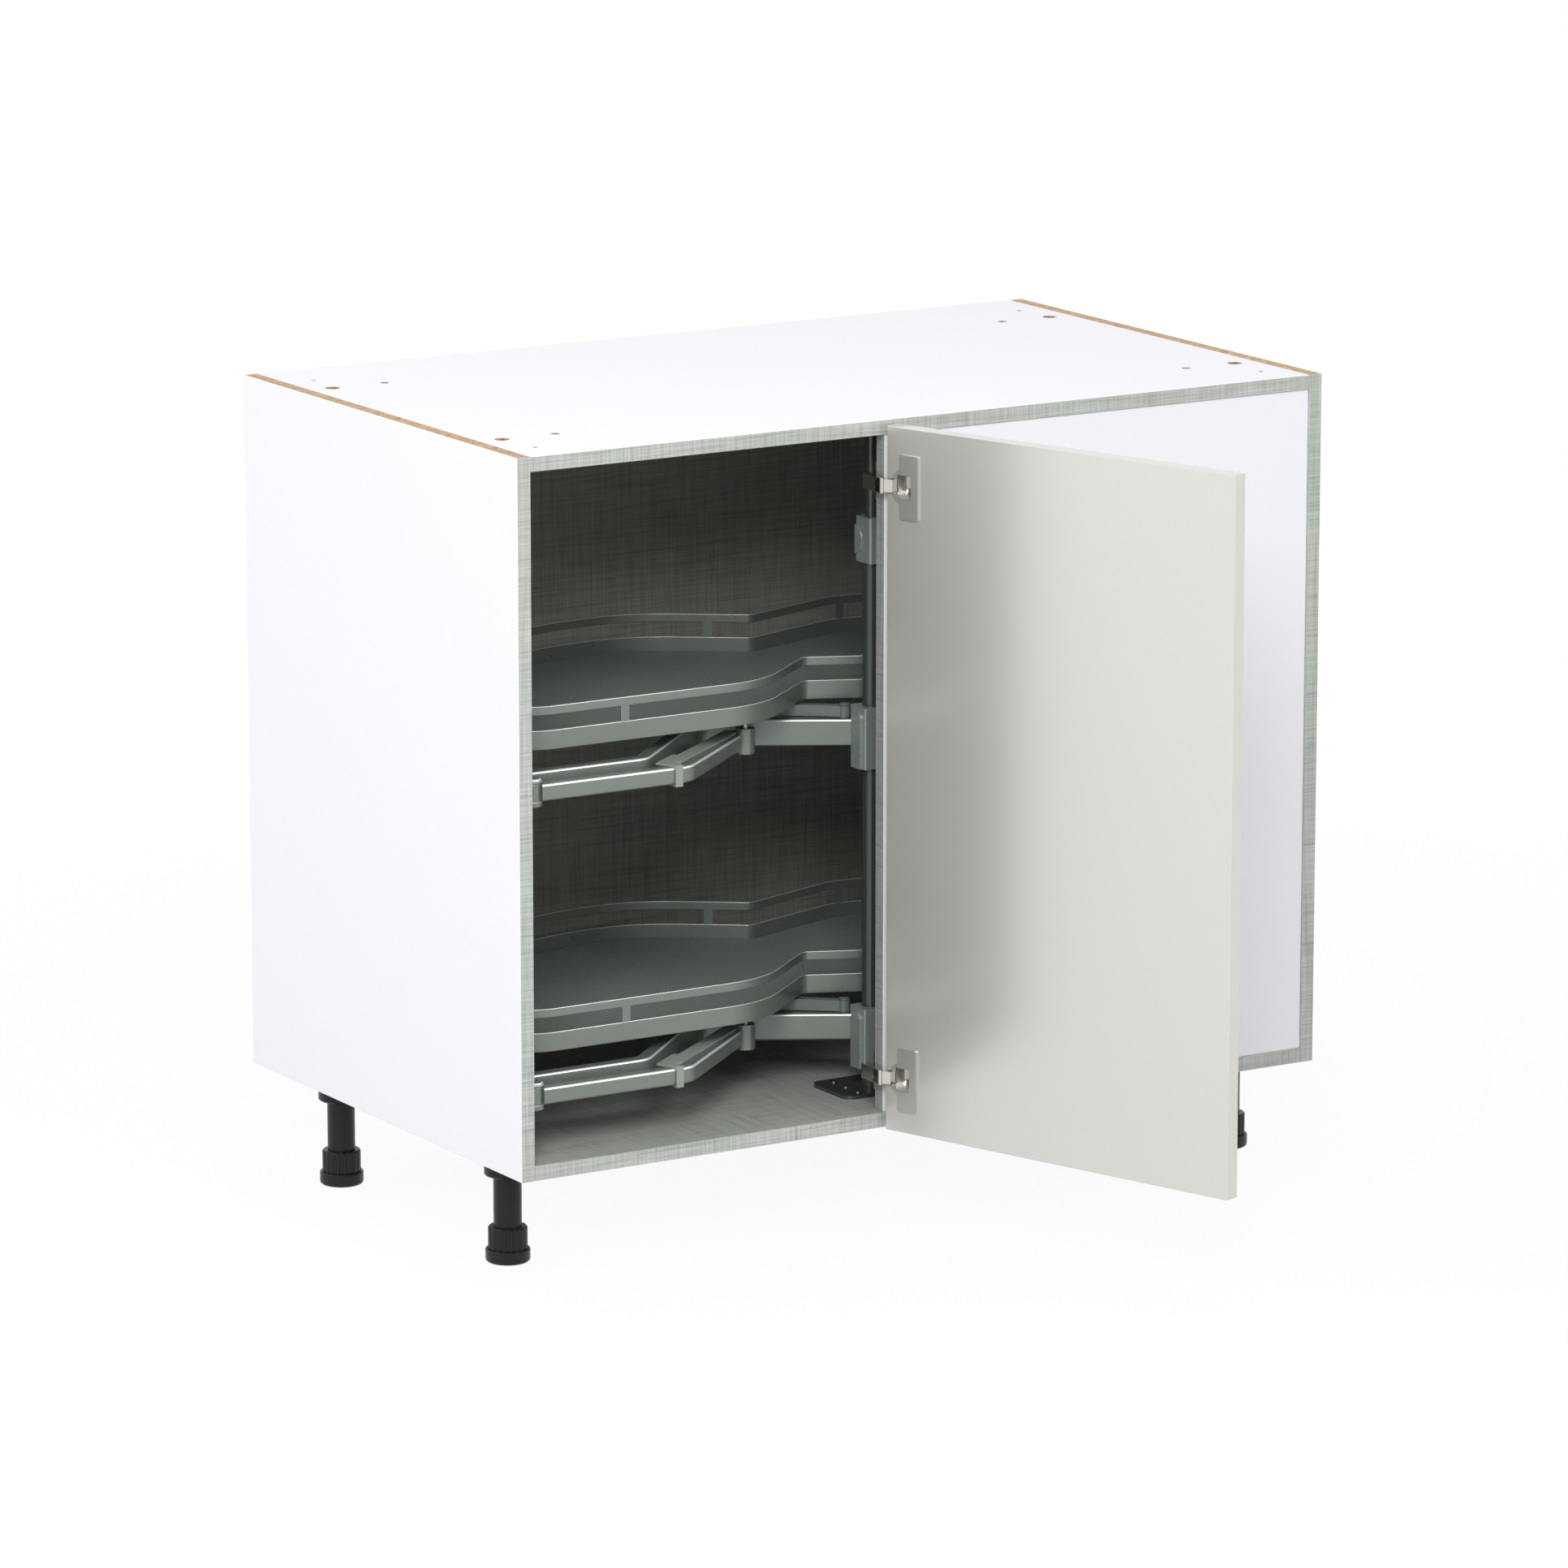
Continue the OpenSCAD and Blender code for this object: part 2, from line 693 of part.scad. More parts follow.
module main_arm(z, low) {
    color("#7d857d") at_arm(z) difference() {
        union() {
            translate([0, 0, arm_low]) tube_run([arm_root, arm_elbow, arm_knee, arm_end], arm_w, arm_h, 3);
            pin(arm_end, arm_w/2 - 1, arm_low + 1, arm_top - 1);
            for (low = [[barrel_low, link_z - play], [link_z + link_h + play, barrel_top]]) {
                pin(barrel, barrel_r, low[0], low[1]);
                translate([barrel.x - barrel_r, barrel.y, low[0]])
                    cube([2*barrel_r, arm_end.y - barrel.y, low[1] - low[0]]);
            }
        }
        block_body(low);
        pin(barrel, barrel_pin_r + fit, -1, arm_top + 1);
    }
}

module barrel_pin(z) {
    color("#8a928a") at_arm(z) translate([barrel.x, barrel.y, 0]) rotate_extrude() polygon([
        [0, barrel_low - 1.5], [barrel_pin_r + 2, barrel_low - 1.5], [barrel_pin_r + 2, barrel_low],
        [barrel_pin_r, barrel_low], [barrel_pin_r, barrel_top], [barrel_r - 0.7, barrel_top],
        for (a = [0:15:90]) [barrel_r - 3.2, barrel_top] + [2.5*cos(a), 2.5*sin(a)], [0, barrel_top + 2.5]
    ]);
}

module folding_link(z) {
    start = [barrel.x + barrel_r - 5, link_y];
    end = tray_pivot - 4*unit(tray_pivot - link_bend);
    color("#8b938b") at_arm(z) difference() {
        union() {
            translate([0, 0, link_z]) tube_run([start, link_bend, end], link_w, link_h, 3);
            pin(barrel, barrel_r - 0.5, link_z, link_z + link_h);
            pin(tray_pivot, barrel_r, boss_low, boss_low + boss_h);
        }
        pin(barrel, barrel_pin_r + fit, -1, arm_top);
        pin(tray_pivot, pin_r + fit, boss_low + 3, boss_low + boss_h + 1);
    }
}

// The strap round the link and the wide plate that runs from it to the boss
module link_strap(z) {
    low = link_z - strap_t;
    top = link_z + link_h;
    x0 = link_bend.x - strap_back;
    strap_y = link_front - strap_t;
    along = unit(tray_pivot - link_bend);
    side = left_of(along);
    inner = side*(link_w/2 - 0.5);
    color("#7b837b") at_arm(z) difference() {
        union() {
            translate([x0, strap_y, low]) cube([strap_w, strap_t, top + strap_t - low]);
            translate([x0, strap_y, low]) cube([strap_w, link_w, strap_t]);
            translate([0, 0, top]) linear_extrude(strap_t) polygon([
                [x0, strap_y], [x0 + strap_w, strap_y], [x0 + strap_w, link_y + link_w/2 - 0.5],
                link_bend + inner + along*2, tray_pivot + inner, tray_pivot + side*plate_w[0],
                link_bend + side*plate_w[0] + along*(plate_step + 1),
                link_bend + side*plate_w[1] + along*plate_step, link_bend + side*plate_w[1] - along*plate_start
            ]);
        }
        pin(tray_pivot, barrel_r + fit, 0, boss_low + boss_h + 1);
    }
}

module tray_pin(z) color("#b8a46a") at_arm(z) pin(tray_pivot, pin_r, boss_low + 3, tray_z + floor_t);

module guide_arm(z) {
    color("#747c75") at_arm(z) difference() {
        union() {
            translate([0, 0, guide_z]) linear_extrude(guide_h)
                polygon(strip(guide_pivot, guide_bend, guide_end, guide_w));
            pin(guide_pivot, 6.8, guide_z, guide_z + guide_h);
            pin(guide_end, 6.8, guide_z, guide_z + guide_h);
            pin(guide_end, 3, guide_z + guide_h - 1, tray_z - play);
        }
        pin(guide_pivot, guide_pin_r + fit, guide_z - 1, guide_z + guide_h + 1);
    }
}

module guide_pin(z) {
    color("#8a928a") at_arm(z) {
        pin(guide_pivot, guide_pin_r, arm_top, guide_z + guide_h + play + 1.6);
        pin(guide_pivot, 5.5, arm_top, guide_z - play);
        pin(guide_pivot, 5.5, guide_z + guide_h + play, guide_z + guide_h + play + 1.6);
    }
}

module tray_floor(z) {
    hub_h = 4;
    color("#5f6862") at_arm(z) difference() {
        union() {
            translate([0, 0, tray_z]) linear_extrude(floor_t) polygon(outline(tray_corners, rail_t));
            pin(tray_pivot, 13, tray_z - hub_h, tray_z + 1);
        }
        pin(tray_pivot, pin_r + fit, tray_z - hub_h - 1, tray_z + floor_t + 1);
    }
}

module rail_ring() {
    difference() {
        polygon(outline(tray_corners, 0));
        polygon(outline(tray_corners, rail_t));
    }
}

module tray_rail(z) {
    color("#7f877f") at_arm(z) translate([0, 0, tray_z]) {
        linear_extrude(rail_low) rail_ring();
        translate([0, 0, rail_h - rail_top]) linear_extrude(rail_top) rail_ring();
        translate([0, 0, rail_low]) linear_extrude(rail_h - rail_low - rail_top) intersection() {
            rail_ring();
            for (s = struts) translate(xy(s)) rotate([0, 0, s.z]) square([strut_w, 4*rail_t], center = true);
        }
    }
}

module tray_mat(z) color("#59625d") at_arm(z) translate([0, 0, tray_z + floor_t]) linear_extrude(mat_t)
    polygon(outline(tray_corners, rail_t + 1));

side_panel(0);  // left_side_panel
side_panel(body_w - board_t);  // right_side_panel
top_panel();
bottom_panel();
back_panel();
blind_panel();
carcass_dowels();
leg_sockets();
leg_tubes();
leg_screws();
foot_collar(leg_places[0]);  // front_left_collar
foot_cup(leg_places[0]);  // front_left_foot
foot_collar(leg_places[1]);  // front_right_collar
foot_cup(leg_places[1]);  // front_right_foot
foot_collar(leg_places[2]);  // rear_left_collar
foot_cup(leg_places[2]);  // rear_left_foot
foot_collar(leg_places[3]);  // rear_right_collar
foot_cup(leg_places[3]);  // rear_right_foot
door();
hinge_cup(hinge_zs[1]);  // upper_hinge_cup
hinge_cup(hinge_zs[0]);  // lower_hinge_cup
hinge_link(hinge_zs[1]);  // upper_hinge_link
hinge_link(hinge_zs[0]);  // lower_hinge_link
hinge_arm(hinge_zs[1]);  // upper_hinge_arm
hinge_arm(hinge_zs[0]);  // lower_hinge_arm
hinge_plate(hinge_zs[1]);  // upper_hinge_plate
hinge_plate(hinge_zs[0]);  // lower_hinge_plate
hinge_arm_pins();
hinge_cup_pins();
hinge_plate_screws();
hinge_cup_dowels();
column_tube();
column_inner_tube();
column_base_plate();
column_top_plate();
column_plate_screws();
column_clamp();
swivel_block(arm_zs[1], block_lows[1]);  // upper_swivel_block
main_arm(arm_zs[1], block_lows[1]);  // upper_main_arm
barrel_pin(arm_zs[1]);  // upper_barrel_pin
folding_link(arm_zs[1]);  // upper_folding_link
link_strap(arm_zs[1]);  // upper_link_strap
tray_pin(arm_zs[1]);  // upper_tray_pin
guide_arm(arm_zs[1]);  // upper_guide_arm
guide_pin(arm_zs[1]);  // upper_guide_pin
tray_floor(arm_zs[1]);  // upper_tray_floor
tray_rail(arm_zs[1]);  // upper_tray_rail
tray_mat(arm_zs[1]);  // upper_tray_mat
swivel_block(arm_zs[0], block_lows[0]);  // lower_swivel_block
main_arm(arm_zs[0], block_lows[0]);  // lower_main_arm
barrel_pin(arm_zs[0]);  // lower_barrel_pin
folding_link(arm_zs[0]);  // lower_folding_link
link_strap(arm_zs[0]);  // lower_link_strap
tray_pin(arm_zs[0]);  // lower_tray_pin
guide_arm(arm_zs[0]);  // lower_guide_arm
guide_pin(arm_zs[0]);  // lower_guide_pin
tray_floor(arm_zs[0]);  // lower_tray_floor
tray_rail(arm_zs[0]);  // lower_tray_rail
tray_mat(arm_zs[0]);  // lower_tray_mat
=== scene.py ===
import json
import math

import bmesh
import bpy
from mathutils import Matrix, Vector


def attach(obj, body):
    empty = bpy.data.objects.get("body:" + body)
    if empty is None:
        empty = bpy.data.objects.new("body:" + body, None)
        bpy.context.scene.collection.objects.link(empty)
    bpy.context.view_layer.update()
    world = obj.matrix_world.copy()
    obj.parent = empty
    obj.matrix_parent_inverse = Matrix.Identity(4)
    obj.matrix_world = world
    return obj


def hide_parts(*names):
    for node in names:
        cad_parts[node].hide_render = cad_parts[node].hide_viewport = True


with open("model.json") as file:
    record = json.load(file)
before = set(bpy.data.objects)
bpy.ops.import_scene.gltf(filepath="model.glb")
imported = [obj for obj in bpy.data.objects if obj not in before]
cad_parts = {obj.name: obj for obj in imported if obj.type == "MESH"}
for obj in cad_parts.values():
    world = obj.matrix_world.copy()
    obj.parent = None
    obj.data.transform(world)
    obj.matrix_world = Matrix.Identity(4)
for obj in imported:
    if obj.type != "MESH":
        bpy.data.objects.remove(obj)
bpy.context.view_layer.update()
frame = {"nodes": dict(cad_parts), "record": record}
nodes = frame["nodes"]

# Sizes and places of the CAD model, in millimetres from the carcass's front left bottom corner
BODY_W, BODY_D, BODY_H, BOARD_T = 995.0, 595.0, 762.0, 16.0
LEG_H = 114.0
DOOR_W, DOOR_BEVEL = 452.6, 0.8
DOOR_CORNER = (438.4, -8.0)
DOOR_DIR = math.radians(288.9)
DOOR_REACH = DOOR_CORNER[1] + DOOR_W*math.sin(DOOR_DIR) + DOOR_BEVEL*math.cos(DOOR_DIR)
MID_Y = (BODY_D + DOOR_REACH)/2
HINGE_ZS = (58.0, BODY_H - 67.5)
COLUMN = (487.5, 100.5)
PIVOT = (352.0, 136.0)
BARREL = (38.0, 40.5)
# Level of each swing unit
ARM_Z = {"lower": 64.7, "upper": 387.5}

# Heights above the level of a swing unit
TRAY_Z, FLOOR_TOP, MAT_TOP = 48, 51, 53
TRAY_BOSS = (44, 48.5)
ARM_MID, FORK_PLATES = 17.5, ((1, 6.4), (25.2, 28))
LINK_MID, LINK_EYE, LINK_BOSS = 15.8, (6.7, 24.9), (3.9, 31.3)

# Tubes as width and height, the rail with its two bands, and radii of the round pieces
ARM_TUBE, LINK_TUBE = (16, 29), (14, 18.2)
RAIL_T, RAIL_H, RAIL_LOW, RAIL_TOP, RAIL_ROUND = 2.0, 46.4, 20.8, 9.6, 0.95
BARREL_R, EYE_R, TRAY_BOSS_R = 10.7, 10.2, 13


def at(x, y, z):
    """A point given in carcass millimetres, in the frame of the part, in metres."""
    return Vector(((x - BODY_W/2)/1000, (y - MID_Y)/1000, (z + LEG_H)/1000))


# Materials
def linear(value):
    """One value of a picture's colour, 0-255, as a scene-linear value."""
    return value/255/12.92 if value <= 10 else ((value/255 + 0.055)/1.055)**2.4


def lin(r, g, b):
    """A colour given as 0-255 values of a picture, as scene-linear values."""
    return (linear(r), linear(g), linear(b), 1.0)


def scaled(colour, k):
    """The colour made lighter or darker by a factor."""
    return tuple(v*k for v in colour[:3]) + (1.0,)


class Mat:
    """A node material under construction."""

    def __init__(self, name, rough, metal=0.0, **sockets):
        self.material = bpy.data.materials.new(name)
        self.material.use_nodes = True
        self.tree = self.material.node_tree
        self.shader = self.tree.nodes["Principled BSDF"]
        self.shader.inputs["Roughness"].default_value = rough
        self.shader.inputs["Metallic"].default_value = metal
        for socket, value in sockets.items():
            self.shader.inputs[socket.replace("_", " ")].default_value = value
        coordinates = self.node("ShaderNodeTexCoord")
        self.place = coordinates.outputs["Object"]
        self.normal = coordinates.outputs["Normal"]

    def node(self, kind, **settings):
        node = self.tree.nodes.new(kind)
        for name, value in settings.items():
            setattr(node, name, value)
        return node

    def put(self, socket, value):
        """Link a socket's value, or write a plain one on it."""
        if isinstance(value, bpy.types.NodeSocket):
            self.tree.links.new(value, socket)
        else:
            socket.default_value = value

    def calc(self, operation, a, b=0.0):
        node = self.node("ShaderNodeMath", operation=operation)
        self.put(node.inputs[0], a)
        self.put(node.inputs[1], b)
        return node.outputs[0]

    def plus(self, a, b):
        return self.calc("ADD", a, b)

    def minus(self, a, b):
        return self.calc("SUBTRACT", a, b)

    def times(self, a, b):
        return self.calc("MULTIPLY", a, b)

    def between(self, value, low, high):
        """1 where the value lies between two limits, else 0."""
        return self.times(self.calc("GREATER_THAN", value, low), self.calc("LESS_THAN", value, high))

    def mix(self, factor, a, b, blend="MIX"):
        """Two colours mixed. Inputs 6 and 7 and output 2 are the node's colour sockets."""
        node = self.node("ShaderNodeMix", data_type="RGBA", blend_type=blend)
        self.put(node.inputs[0], factor)
        self.put(node.inputs[6], a)
        self.put(node.inputs[7], b)
        return node.outputs[2]

    def mapped(self, scale, degrees=(0, 0, 0)):
        """Object coordinates scaled by one number or one per axis, and turned."""
        node = self.node("ShaderNodeMapping")
        self.tree.links.new(self.place, node.inputs["Vector"])
        node.inputs["Scale"].default_value = scale if hasattr(scale, "__len__") else (scale,)*3
        node.inputs["Rotation"].default_value = [math.radians(d) for d in degrees]
        return node.outputs[0]

    def noise(self, scale, detail):
        node = self.node("ShaderNodeTexNoise")
        self.tree.links.new(self.mapped(scale), node.inputs["Vector"])
        node.inputs["Scale"].default_value = 1.0
        node.inputs["Detail"].default_value = detail
        return node.outputs[0]

    def remap(self, value, from_min, from_max, to_min=0.0, to_max=1.0):
        node = self.node("ShaderNodeMapRange", clamp=True)
        for i, v in enumerate((value, from_min, from_max, to_min, to_max)):
            self.put(node.inputs[i], v)
        return node.outputs[0]

    def xyz(self, source):
        node = self.node("ShaderNodeSeparateXYZ")
        self.tree.links.new(source, node.inputs[0])
        return node.outputs

    def facing(self, axis, side, least):
        """1 on the faces that look to one side along an axis, else 0."""
        return self.calc("GREATER_THAN", self.times(self.xyz(self.normal)[axis], side), least)

    def colour(self, value):
        self.put(self.shader.inputs["Base Color"], value)

    def rough(self, value):
        self.put(self.shader.inputs["Roughness"], value)

    def bump(self, height, distance, strength):
        node = self.node("ShaderNodeBump")
        node.inputs["Strength"].default_value = strength
        node.inputs["Distance"].default_value = distance
        self.put(node.inputs["Height"], height)
        self.tree.links.new(node.outputs[0], self.shader.inputs["Normal"])


# Linen decor: noise scales across and along the threads, fine ones and the sparse thick ones
THREADS_ACROSS, THREADS_ALONG = 760.0, 14.0
SPARSE_ACROSS, SPARSE_ALONG = 330.0, 9.0
THREAD_MEAN = 0.58


def linen(m):
    """Crossed threads on every face: long streaks along the axes, hidden where they'd run into the face."""
    normal = m.xyz(m.normal)
    total = None
    for axis in range(3):
        fine = [THREADS_ACROSS]*3
        fine[axis] = THREADS_ALONG
        sparse = [SPARSE_ACROSS]*3
        sparse[axis] = SPARSE_ALONG
        thick = m.remap(m.noise(sparse, 1.0), 0.30, 0.42)
        streak = m.plus(m.times(m.noise(fine, 1.5), 0.8), m.times(thick, 0.20))
        lies_in_face = m.minus(1.0, m.calc("ABSOLUTE", normal[axis]))
        streak = m.times(m.minus(streak, THREAD_MEAN), lies_in_face)
        total = streak if total is None else m.plus(total, streak)
    weave = m.remap(total, -0.34, 0.26)
    drift = m.remap(m.noise(7.0, 2.0), 0.35, 0.65)
    tone = m.mix(drift, lin(203, 205, 200), lin(198, 203, 196))
    return m.mix(weave, lin(158, 162, 155), tone), weave


def chips(m):
    """Raw particle board: tan flakes with dark and pale specks."""
    flakes = m.node("ShaderNodeTexVoronoi", feature="F1")
    m.tree.links.new(m.mapped((260, 420, 520), (12, 8, 25)), flakes.inputs["Vector"])
    flakes.inputs["Scale"].default_value = 1.0
    ramp = m.node("ShaderNodeValToRGB")
    dark, pale = ramp.color_ramp.elements
    dark.position, dark.color = 0.10, lin(92, 60, 30)
    pale.position, pale.color = 0.95, lin(214, 178, 126)
    ramp.color_ramp.elements.new(0.38).color = lin(172, 128, 80)
    shade = m.times(m.xyz(flakes.outputs["Color"])[0], 0.7)
    m.tree.links.new(m.plus(shade, m.times(m.noise(300, 3.0), 0.4)), ramp.inputs[0])
    return ramp.outputs[0]


def plain(m, base, scale):
    """A pale coat that isn't quite even."""
    unevenness = 0.012
    return m.mix(m.noise(scale, 3.0), scaled(base, 1 - unevenness), base)


def board(name, white_axis, white_side, raw=()):
    """A coated board: one face white, raw particle board on some faces, linen decor on the rest."""
    m = Mat(name, rough=0.42)
    colour, weave = linen(m)
    colour = m.mix(m.facing(white_axis, white_side, 0.3), colour, plain(m, lin(248, 248, 252), 9.0))
    for axis, side in raw:
        colour = m.mix(m.facing(axis, side, 0.9), colour, chips(m))
    return m, colour, weave


def face_in_painted_shade(m, colour, weave, axis, side, shade_tint):
    """A board whose decor is darker on one of its faces: painted shade for a face that lies in shadow."""
    shaded_colour = m.mix(1.0, colour, shade_tint + (1.0,), "MULTIPLY")
    return m, m.mix(m.facing(axis, side, 0.5), colour, shaded_colour), weave


def finish_board(m, colour, weave):
    """Colour the board and give its face the relief of the weave."""
    m.colour(colour)
    m.bump(m.plus(weave, m.times(m.noise(900, 2.0), 0.3)), 0.00006, 0.25)
    return m.material


# Depths below the face where holes show raw board, in metres
HOLE_DEPTHS = (0.0007, 0.0125)
# Margin along the board's edges that stays coated, in millimetres
HOLE_MARGIN = 0.8


def drilled(name, face, side):
    """The top or bottom board: white outside, raw particle board in its holes, and painted shade on its
    inside face.
    """
    m, colour, weave = board(name, 2, side)
    place = m.xyz(m.place)
    depth = m.times(m.minus(face/1000, place[2]), side)
    hole = m.between(depth, *HOLE_DEPTHS)
    left, right = BOARD_T + HOLE_MARGIN - BODY_W/2, BODY_W - BOARD_T - HOLE_MARGIN - BODY_W/2
    front, back = HOLE_MARGIN - MID_Y, BODY_D - HOLE_MARGIN - MID_Y
    hole = m.times(hole, m.between(place[0], left/1000, right/1000))
    hole = m.times(hole, m.between(place[1], front/1000, back/1000))
    colour = m.mix(hole, colour, chips(m))
    # Painted shade: the face inside the carcass is darker.
    return finish_board(*face_in_painted_shade(m, colour, weave, 2, -side, (0.88, 0.88, 0.88)))


def lacquer():
    """Satin lacquer of the door."""
    m = Mat("door_board", rough=0.20, metal=0.50)
    m.colour(plain(m, lin(221, 219, 213), 5.0))
    m.bump(m.noise(1400, 2.0), 0.00003, 0.2)
    return m.material


def painted(name, rgb, rough, metal=0.35, rim=0.0):
    """Powder coat with a fine orange-peel grain, and a painted highlight: paler by the share rim on rounded
    upper edges.
    """
    m = Mat(name, rough=rough, metal=metal)
    base = lin(*rgb)
    contrast = 0.12
    grain = m.noise(1800, 3.0)
    tone = m.mix(grain, scaled(base, 1 - contrast), scaled(base, 1 + contrast))
    # Painted highlight: rounded edges that look upwards turn near-white, where a lamp's glint falls on
    # them.
    if rim:
        up = m.xyz(m.normal)[2]
        edge = m.times(m.remap(up, 0.15, 0.40), m.remap(up, 0.97, 0.85))
        tone = m.mix(m.times(edge, rim), tone, lin(250, 252, 250))
    m.colour(tone)
    m.rough(m.remap(m.noise(60, 3.0), 0.3, 0.7, rough - 0.05, rough + 0.06))
    m.bump(grain, 0.00005, 0.25)
    return m.material


def plated(name, rgb, rough, brushing=(1800, 1800, 60)):
    """Polished or brushed plated metal."""
    m = Mat(name, rough=rough, metal=1.0)
    base = lin(*rgb)
    grain = m.noise(brushing, 3.0)
    m.colour(m.mix(grain, scaled(base, 0.86), base))
    m.rough(m.remap(grain, 0.3, 0.7, rough*0.8, rough*1.3))
    m.bump(grain, 0.00002, 0.2)
    return m.material


def plastic(name, rgb):
    """Black moulded plastic with a fine eroded grain."""
    rough = 0.33
    m = Mat(name, rough=rough, Specular_IOR_Level=0.3)
    base = lin(*rgb)
    grain = m.noise(1500, 3.0)
    m.colour(m.mix(grain, scaled(base, 0.8), scaled(base, 1.15)))
    m.rough(m.remap(m.noise(90, 3.0), 0.3, 0.7, rough - 0.06, rough + 0.08))
    m.bump(grain, 0.00006, 0.3)
    return m.material


# Distance in metres between two threads of the tray mat
WEAVE_PITCH = 0.0034


def matting():
    """Anti-slip mat with a fine diagonal weave."""
    m = Mat("mat_rubber", rough=0.55)
    place = m.xyz(m.mapped(1.0, (0, 0, 45)))
    waves = [m.calc("SINE", m.times(place[axis], 2*math.pi/WEAVE_PITCH)) for axis in (0, 1)]
    weave = m.plus(0.5, m.plus(m.times(waves[0], 0.30), m.times(waves[1], 0.20)))
    weave = m.plus(m.times(weave, 0.9), m.times(m.noise(500, 2.0), 0.1))
    m.colour(m.mix(weave, lin(52, 58, 55), lin(184, 196, 188)))
    m.bump(weave, 0.0004, 0.6)
    return m.material


def wood_dowel():
    """Pale wood with its grain along x."""
    m = Mat("dowel_wood", rough=0.6)
    m.colour(m.mix(m.noise((30, 700, 700), 3.0), lin(190, 150, 105), lin(225, 190, 146)))
    return m.material


# Mouth of the hinge cup's cover: from and to along the door, and half its height, in metres
CUP_MOUTH = (0.0150, 0.0342)
CUP_MOUTH_HALF = 0.0127


def hinge_cup():
    """Satin cover with the polished steel of the cup in its mouth."""
    m = Mat("cup_nickel", rough=0.3, metal=0.55)
    place = m.xyz(m.place)
    corner = at(*DOOR_CORNER, 0)
    along_x = m.times(m.minus(place[0], corner.x), math.cos(DOOR_DIR))
    along_y = m.times(m.minus(place[1], corner.y), math.sin(DOOR_DIR))
    mouth = m.between(m.plus(along_x, along_y), *CUP_MOUTH)
    away = [m.calc("ABSOLUTE", m.minus(place[2], (z + LEG_H)/1000)) for z in HINGE_ZS]
    mouth = m.times(mouth, m.calc("LESS_THAN", m.calc("MINIMUM", *away), CUP_MOUTH_HALF))
    grain = m.noise(1500, 2.0)
    satin = m.mix(grain, lin(184, 182, 176), lin(194, 192, 186))
    polished = m.mix(grain, lin(206, 203, 198), lin(222, 219, 214))
    m.colour(m.mix(mouth, satin, polished))
    m.put(m.shader.inputs["Metallic"], m.remap(mouth, 0, 1, 0.55, 1.0))
    m.rough(m.remap(mouth, 0, 1, 0.30, 0.09))
    m.bump(grain, 0.00002, 0.2)
    return m.material


# Faces of the side panels that show raw board: axis and side
CUT_ENDS = ((2, 1), (2, -1))
CUP = hinge_cup()
STRAP = painted("strap_paint", (150, 155, 149), 0.5, 0.0)
# Painted shade: a darker paint than the other fittings for the guide arm and pin, which sit in the tray's
# shadow.
GUIDE_IN_SHADE = painted("guide_shade_paint", (108, 116, 109), 0.42, 0.1)

# Materials of single CAD nodes, by the name of the node
NODE_MATERIALS = {
    "left_side_panel": finish_board(*board("white_board_left", 0, -1, CUT_ENDS)),
    "right_side_panel": finish_board(*board("white_board_right", 0, 1, CUT_ENDS)),
    # Painted shade: the inside face of the back panel is darker and warmer, as the shaded interior wall
    # looks.
    "back_panel": finish_board(*face_in_painted_shade(*board("linen_board_back", 1, 1), 1, -1, (0.80, 0.76, 0.74))),
    # Painted shade: the blind panel's left edge face, which looks into the shaded interior, is darker.
    "blind_panel": finish_board(*face_in_painted_shade(*board("white_board_blind", 1, -1), 0, -1, (0.76, 0.76, 0.77))),
    "top_panel": drilled("white_board_top", BODY_H + LEG_H, 1),
    "bottom_panel": drilled("linen_board_bottom", LEG_H, -1),
    "upper_hinge_cup": CUP,
    "lower_hinge_cup": CUP,
    "upper_link_strap": STRAP,
    "lower_link_strap": STRAP,
    "upper_guide_arm": GUIDE_IN_SHADE,
    "lower_guide_arm": GUIDE_IN_SHADE,
    "upper_guide_pin": GUIDE_IN_SHADE,
    "lower_guide_pin": GUIDE_IN_SHADE,
}

# Materials of the other nodes, by the name of the slot
SLOTS = {
    "dowel_wood": wood_dowel(),
    "leg_plastic": plastic("leg_plastic", (24, 24, 25)),
    "foot_plastic": plastic("foot_plastic", (22, 22, 23)),
    "door_board": lacquer(),
    "nickel": plated("nickel", (214, 210, 204), 0.16),
    "pin_steel": plated("pin_steel", (190, 186, 180), 0.22),
    "screw_steel": plated("screw_steel", (196, 196, 196), 0.25, (900, 900, 900)),
    "column_paint": painted("column_paint", (80, 88, 82), 0.16, 0.45),
    "fitting_paint": painted("fitting_paint", (158, 167, 160), 0.30),
    # The arm and rail paints carry a painted highlight on their rounded upper edges, by the share rim.
    "arm_paint": painted("arm_paint", (127, 135, 128), 0.32, 0.4, rim=0.9),
    "rail_paint": painted("rail_paint", (129, 136, 129), 0.32, 0.4, rim=0.8),
    "tray_board": painted("tray_board", (110, 119, 112), 0.5, 0.0),
    "mat_rubber": matting(),
    "brass_pin": plated("brass_pin", (190, 187, 168), 0.3),
}

slot_of = {s["node"]: s["material_slot"] for s in frame["record"]["subparts"]}
for name, ob in nodes.items():
    material = NODE_MATERIALS.get(name) or SLOTS[slot_of[name]]
    for material_slot in ob.material_slots:
        material_slot.material = material


# Meshes: distance in metres at which points are joined, and angle from which an edge is sharp
WELD, SHARP_ANGLE = 1e-6, math.radians(40)


